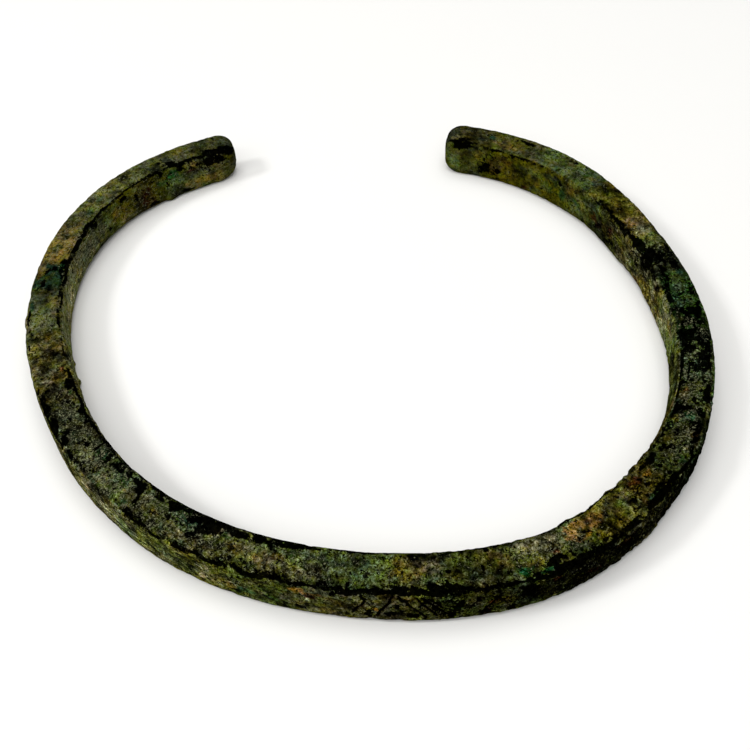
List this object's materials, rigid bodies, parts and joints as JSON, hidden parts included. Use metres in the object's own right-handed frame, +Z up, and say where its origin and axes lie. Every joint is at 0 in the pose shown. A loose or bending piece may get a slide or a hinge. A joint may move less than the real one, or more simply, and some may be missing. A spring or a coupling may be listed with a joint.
{
  "type": "bronze bracelet",
  "caption": "Open oval bangle: a plain square bar bent round, with a gap between blunt ends.",
  "frame": {"origin": "middle of the bracelet's box, on the flat underside that it lies on", "axes": "+Z up from the surface it lies on, +Y towards the gap between the ends, +X across the bracelet's width"},
  "size_m": [0.0708, 0.065, 0.005],
  "materials": {
    "bronze": "corroded brown-black patina, matt to waxy, with olive, grey-green, ochre and orange-brown patches"
  },
  "bodies": {
    "root": {"bracelet": "bronze"}
  },
  "joints": []
}
